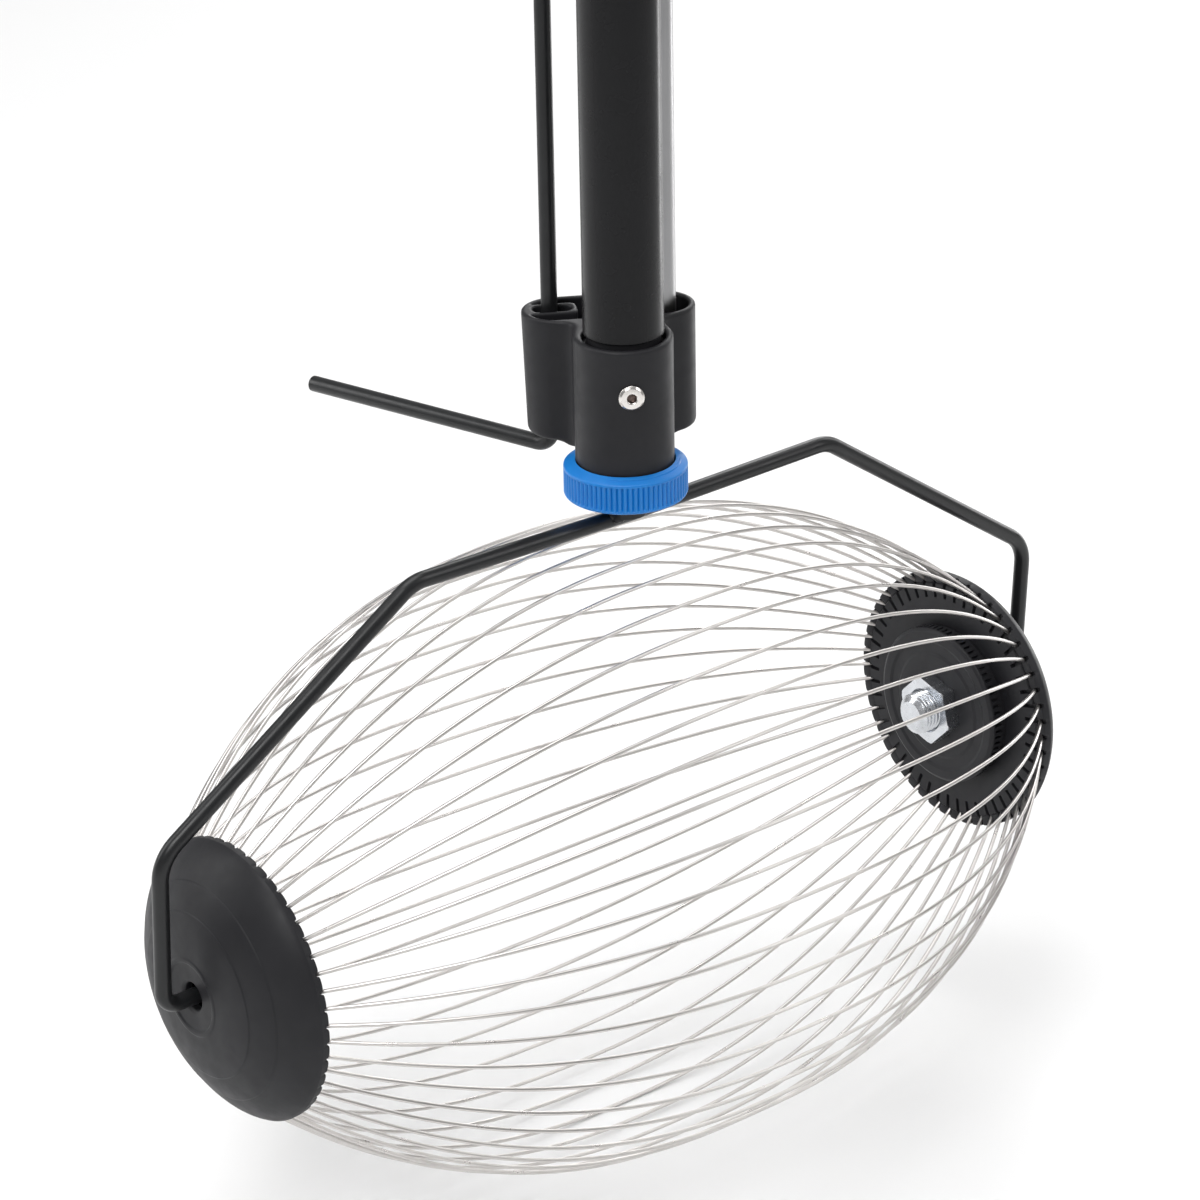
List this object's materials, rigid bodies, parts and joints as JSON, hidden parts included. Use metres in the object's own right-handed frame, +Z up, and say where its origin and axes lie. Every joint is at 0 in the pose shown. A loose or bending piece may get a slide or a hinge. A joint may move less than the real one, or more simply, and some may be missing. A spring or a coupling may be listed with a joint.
{
  "type": "rolling basket gatherer",
  "caption": "Hand tool that rolls over nuts and fallen fruit: an oval wire basket between the legs of a bent rod yoke, a clamp bracket with a screw nut, and a pole section.",
  "frame": {"origin": "centre of the flat top of the threaded spigot at the pole section's upper end, on the pole's axis", "axes": "+Z up along the pole, towards the next pole section; X along the basket's axle; -Y towards the side that faces the user"},
  "size_m": [0.3566, 0.2209, 0.571],
  "materials": {
    "pole_black": "satin black coating on a steel tube",
    "black_plastic": "matte moulded black plastic",
    "coated_rod": "gloss black coating on steel rod",
    "blue_plastic": "satin moulded bright blue plastic",
    "stainless_wire": "bright drawn spring wire",
    "zinc_plated": "bright zinc plating",
    "aluminium_tube": "plain drawn aluminium",
    "rivet_aluminium": "plain aluminium, dished head",
    "ferrule_rubber": "plain black rubber",
    "washer_nylon": "natural nylon"
  },
  "bodies": {
    "pole": {"pole_tube": "pole_black", "pole_core": "black_plastic", "pole_coupling": "black_plastic", "clamp_bracket": "black_plastic", "rivet": "rivet_aluminium"},
    "spare_tube": {"spare_tube": "aluminium_tube", "spare_tube_ferrule": "ferrule_rubber", "spare_tube_cap": "black_plastic"},
    "emptying_rod": {"emptying_rod": "coated_rod", "emptying_rod_knob": "black_plastic"},
    "yoke": {"yoke_rod": "coated_rod", "yoke_stub": "coated_rod"},
    "slip_washer": {"slip_washer": "washer_nylon"},
    "lock_nut": {"lock_nut": "blue_plastic"},
    "basket": {"cap_left": "black_plastic", "cap_right": "black_plastic", "wire_retainer_left": "black_plastic", "wire_retainer_right": "black_plastic", "axle_sleeve_left": "zinc_plated", "axle_sleeve_right": "zinc_plated", "axle_nut_left": "zinc_plated", "axle_nut_right": "zinc_plated", "basket_wires_01": "stainless_wire", "basket_wires_02": "stainless_wire", "basket_wires_03": "stainless_wire", "basket_wires_04": "stainless_wire", "basket_wires_05": "stainless_wire", "basket_wires_06": "stainless_wire", "basket_wires_07": "stainless_wire", "basket_wires_08": "stainless_wire", "basket_wires_09": "stainless_wire", "basket_wires_10": "stainless_wire", "basket_wires_11": "stainless_wire", "basket_wires_12": "stainless_wire", "basket_wires_13": "stainless_wire", "basket_wires_14": "stainless_wire", "basket_wires_15": "stainless_wire", "basket_wires_16": "stainless_wire", "basket_wires_17": "stainless_wire", "basket_wires_18": "stainless_wire", "basket_wires_19": "stainless_wire", "basket_wires_20": "stainless_wire", "basket_wires_21": "stainless_wire", "basket_wires_22": "stainless_wire", "basket_wires_23": "stainless_wire", "basket_wires_24": "stainless_wire", "basket_wires_25": "stainless_wire"}
  },
  "joints": [
    {"name": "yoke_swivel", "type": "hinge", "parent": "pole", "child": "yoke", "pos_m": [0, 0, -0.3456], "axis": [0, 0, 1], "continuous": true},
    {"name": "basket_spin", "type": "hinge", "parent": "yoke", "child": "basket", "pos_m": [0, 0.00692, -0.46979], "axis": [1, 0, 0], "continuous": true},
    {"name": "lock_nut_travel", "type": "slide", "parent": "pole", "child": "slip_washer", "axis": [0, 0, 1], "range_m": [-0.001, 0]},
    {"name": "lock_nut_turn", "type": "hinge", "parent": "slip_washer", "child": "lock_nut", "pos_m": [0, 0, -0.344], "axis": [0, 0, 1], "range_deg": [-180, 0]},
    {"name": "emptying_rod_slide", "type": "slide", "parent": "pole", "child": "emptying_rod", "axis": [0, 0, 1], "range_m": [-0.006, 0.001]},
    {"name": "spare_tube_slide", "type": "slide", "parent": "pole", "child": "spare_tube", "axis": [0, 0, 1], "range_m": [0, 0.037]}
  ],
  "couplings": [
    {"joint": "lock_nut_travel", "follows": "lock_nut_turn", "m_per_rad": 0.000318}
  ]
}
